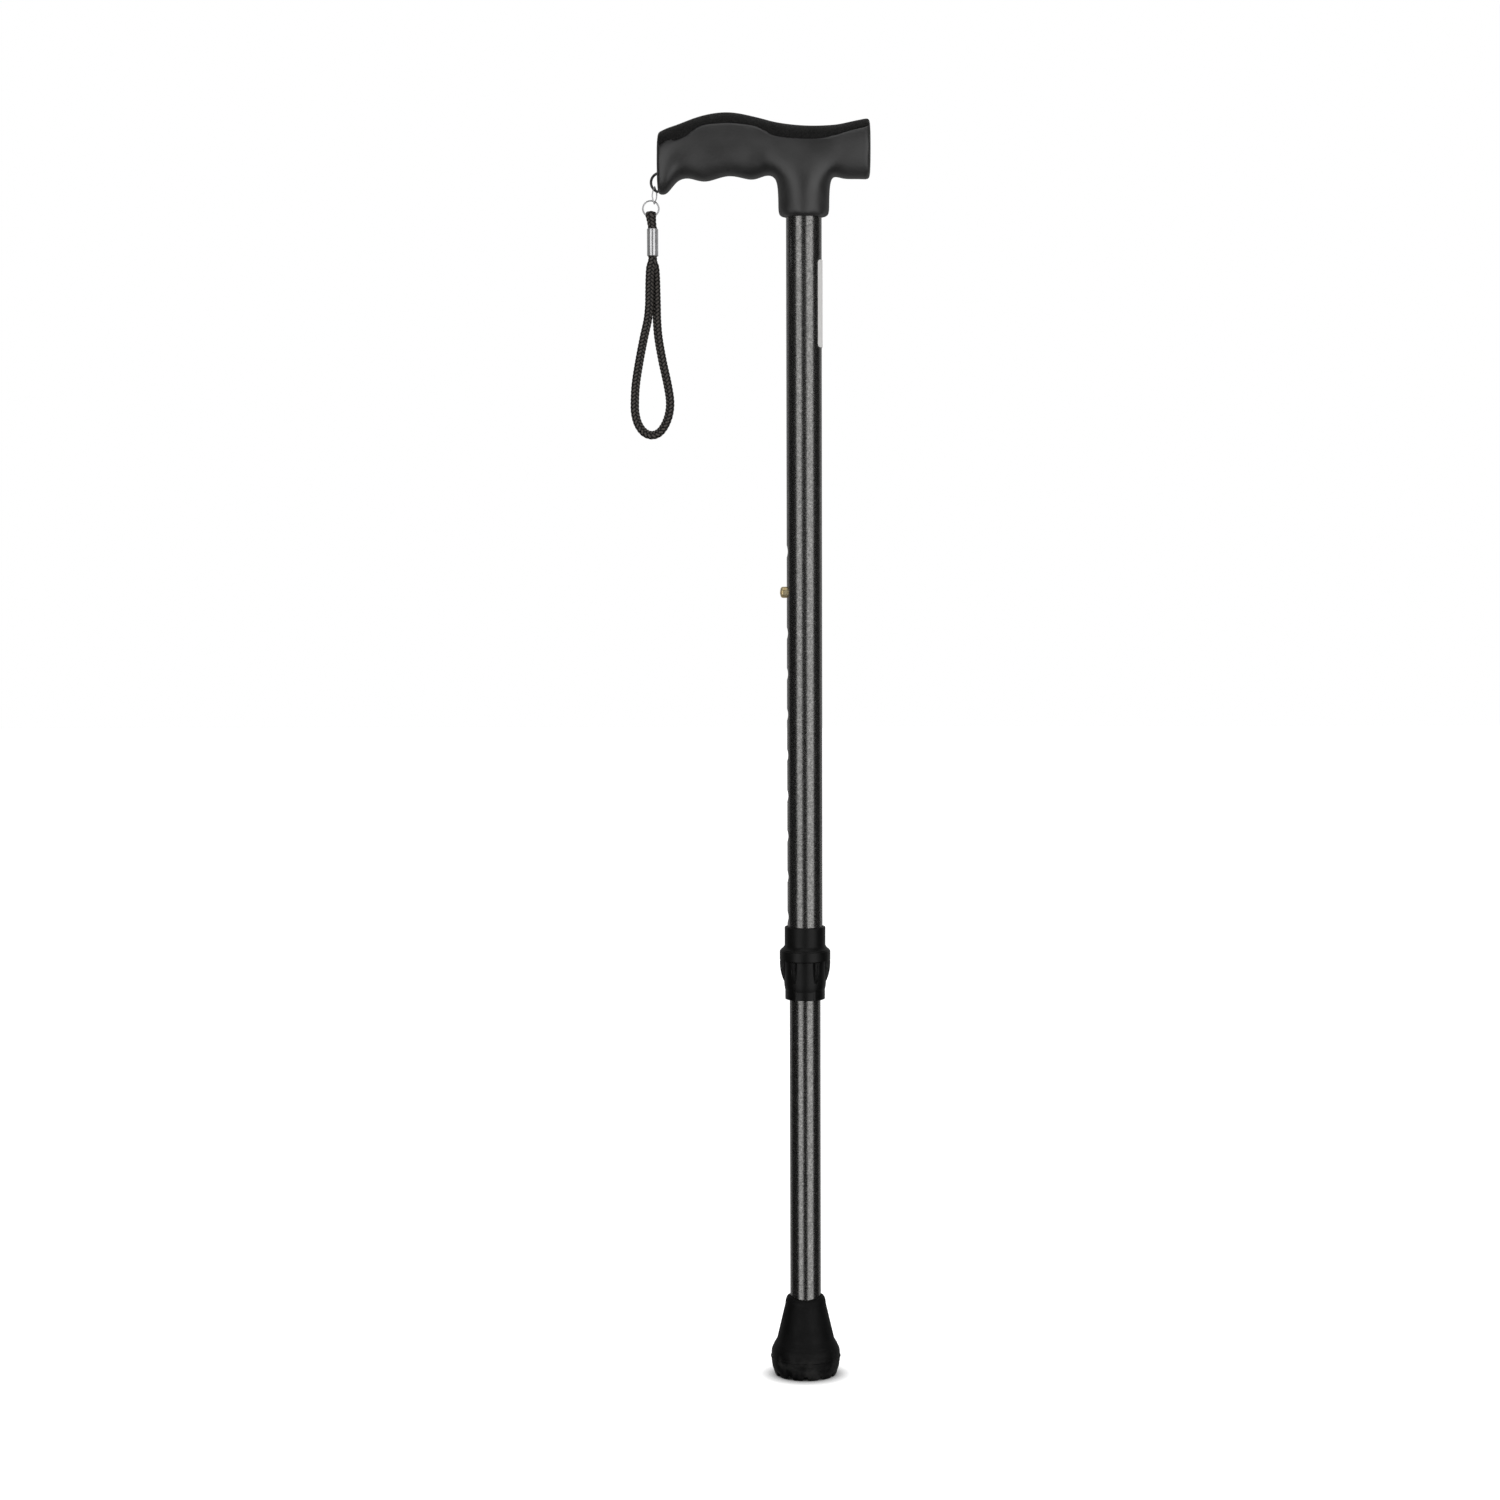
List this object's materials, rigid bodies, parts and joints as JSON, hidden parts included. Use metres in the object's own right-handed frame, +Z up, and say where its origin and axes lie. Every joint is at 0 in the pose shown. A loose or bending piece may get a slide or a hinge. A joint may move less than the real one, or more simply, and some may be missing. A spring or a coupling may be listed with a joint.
{
  "type": "walking cane",
  "caption": "Height-adjustable walking cane with a scalloped T handle, a wrist strap, a telescoping coated tube with a snap button and lock nut, and a flared rubber foot.",
  "frame": {"origin": "centre of the foot's tread, on the floor, on the tube's axis", "axes": "+Z up along the tube; the nose of the handle and the row of adjusting holes point to -X"},
  "size_m": [0.1486, 0.0436, 0.7897],
  "materials": {
    "black_plastic": "satin moulded",
    "grained_pad": "matt, fine leather grain",
    "graphite_coating": "satin powder coat with a fine metallic fleck, over aluminium",
    "black_rubber": "matt",
    "steel": "bright",
    "brass": "satin",
    "nylon": "matt",
    "paper": "satin film",
    "black_cord": "braided"
  },
  "bodies": {
    "lower": {"lower_tube": "graphite_coating", "tube_bush": "nylon", "rubber_foot": "black_rubber", "foot_washer": "steel", "snap_spring": "steel"},
    "upper": {"upper_tube": "graphite_coating", "handle": "black_plastic", "grip_pad": "grained_pad", "tube_plug": "nylon", "handle_screw": "steel", "size_label": "paper", "collar_sleeve": "black_plastic"},
    "button": {"snap_button": "brass"},
    "collet": {"collet": "nylon"},
    "nut": {"lock_nut": "black_plastic"},
    "link": {"strap_link": "steel"},
    "ring": {"strap_ring": "steel"},
    "strap": {"strap_eye_cord": "black_cord", "crimp_sleeve": "steel", "strap_loop_cord": "black_cord"}
  },
  "joints": [
    {"name": "height_slide", "type": "slide", "parent": "lower", "child": "upper", "axis": [0, 0, 1], "range_m": [-0.0254, 0.127]},
    {"name": "button_press", "type": "slide", "parent": "lower", "child": "button", "axis": [1, 0, 0], "range_m": [0, 0.0056], "stiffness_N_per_m": 1500, "springref_m": -0.002, "deforming": ["snap_spring"]},
    {"name": "collet_slide", "type": "slide", "parent": "upper", "child": "collet", "axis": [0, 0, 1], "range_m": [-0.00225, 0]},
    {"name": "nut_turn", "type": "hinge", "parent": "collet", "child": "nut", "pos_m": [0, 0, 0.252], "axis": [0, 0, 1], "range_deg": [-270, 0]},
    {"name": "link_swing", "type": "hinge", "parent": "upper", "child": "link", "pos_m": [-0.0919, 0, 0.74468], "axis": [0, 1, 0], "range_deg": [0, 75]},
    {"name": "ring_swing", "type": "hinge", "parent": "link", "child": "ring", "pos_m": [-0.09227, 0, 0.73423], "axis": [0, 1, 0], "range_deg": [-12, 60]},
    {"name": "strap_swing", "type": "hinge", "parent": "ring", "child": "strap", "pos_m": [-0.09439, 0, 0.7263], "axis": [1, 0, 0], "range_deg": [-75, 75]}
  ],
  "couplings": [
    {"joint": "nut_turn", "follows": "collet_slide", "rad_per_m": 2094.4}
  ]
}
